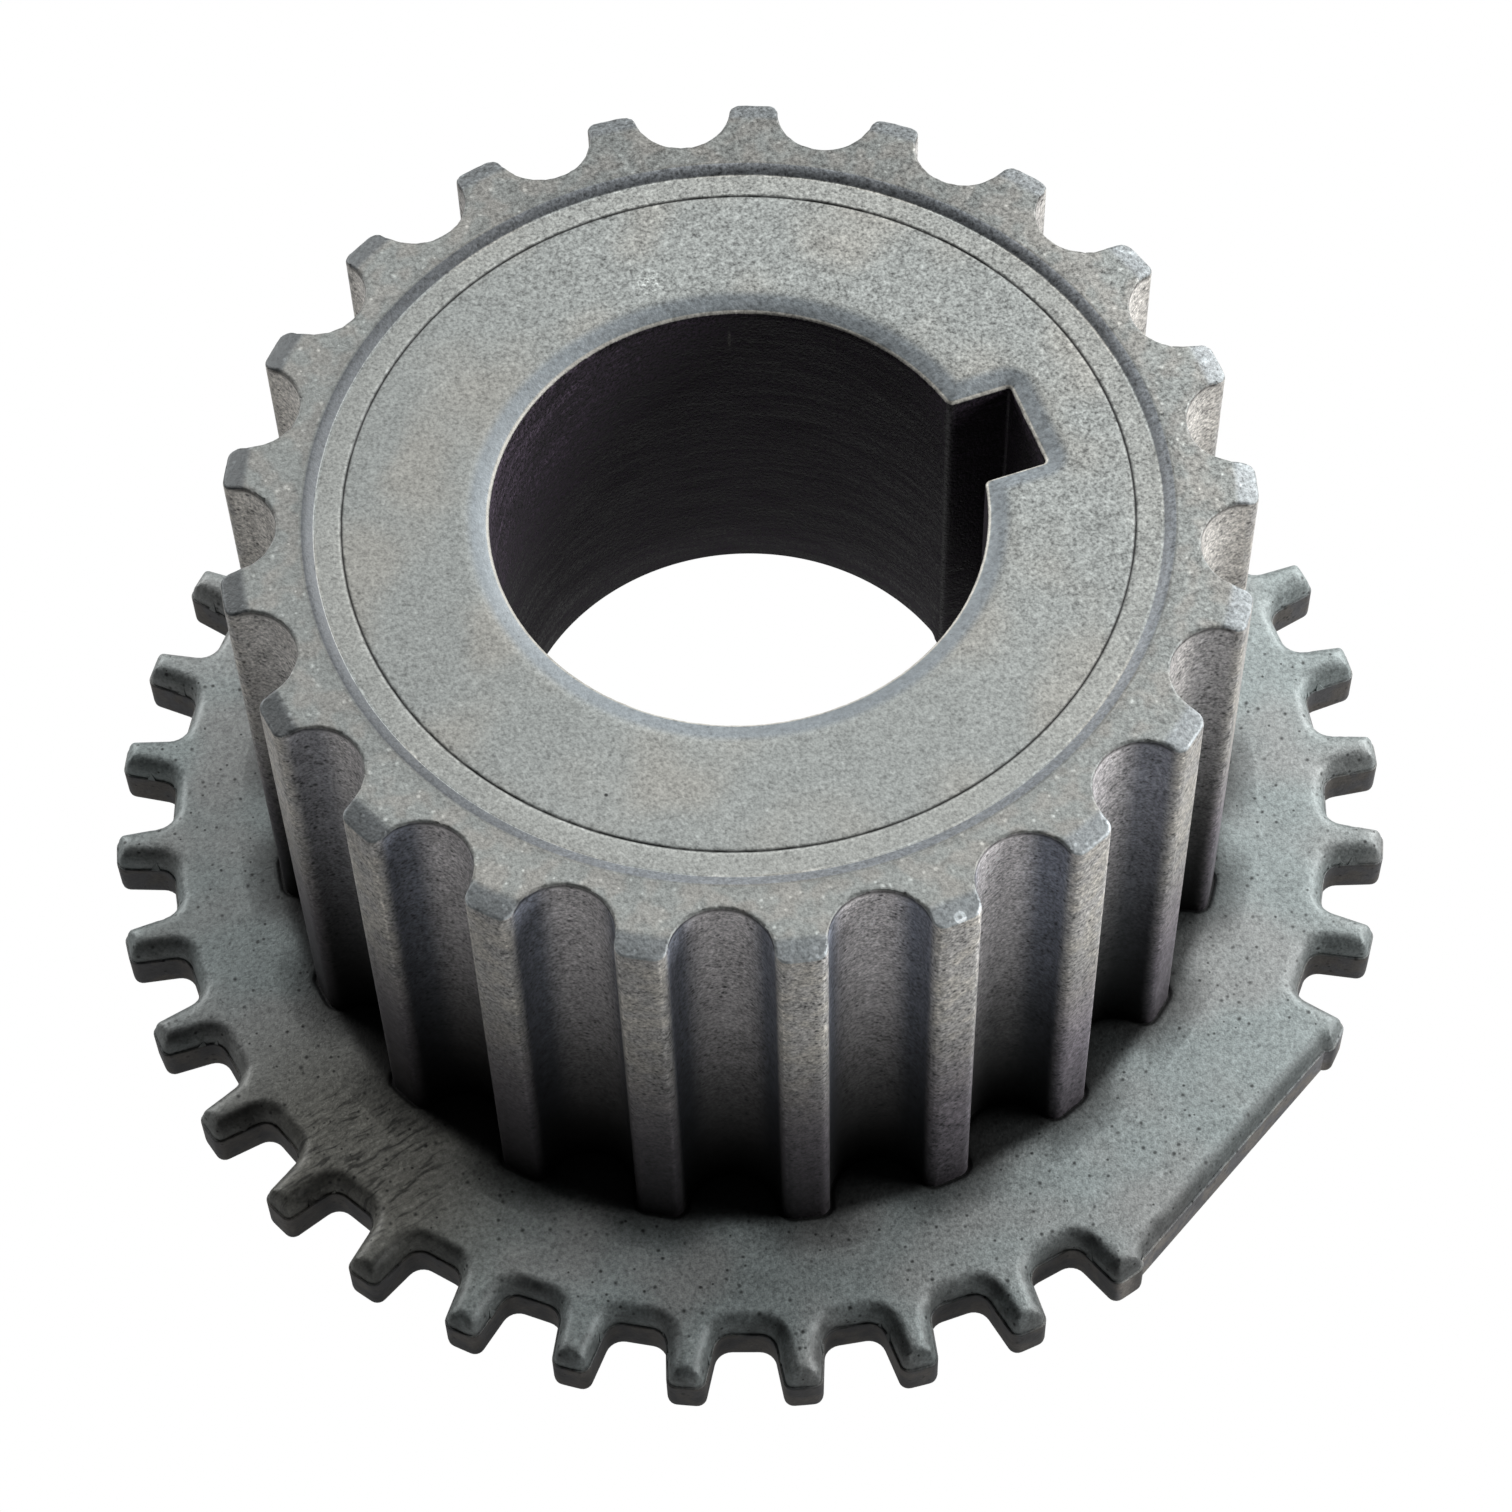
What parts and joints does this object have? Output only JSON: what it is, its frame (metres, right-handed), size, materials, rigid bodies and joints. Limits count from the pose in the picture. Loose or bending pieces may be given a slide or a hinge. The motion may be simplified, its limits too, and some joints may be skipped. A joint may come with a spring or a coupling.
{
  "type": "timing belt gear with trigger wheel",
  "caption": "Sintered steel timing belt gear: grooved belt drum with a keyed bore on a thin toothed trigger flange, with a straight flat where teeth are missing.",
  "frame": {"origin": "bore axis at the underside of the toothed flange", "axes": "+Z along the bore axis from the flange towards the hub face; +X through the middle of the keyway"},
  "size_m": [0.0702, 0.0702, 0.0315],
  "materials": {
    "sintered_steel": "matte sintered steel, lightly oiled, with fine pores"
  },
  "bodies": {
    "root": {"timing_gear": "sintered_steel"}
  },
  "joints": []
}
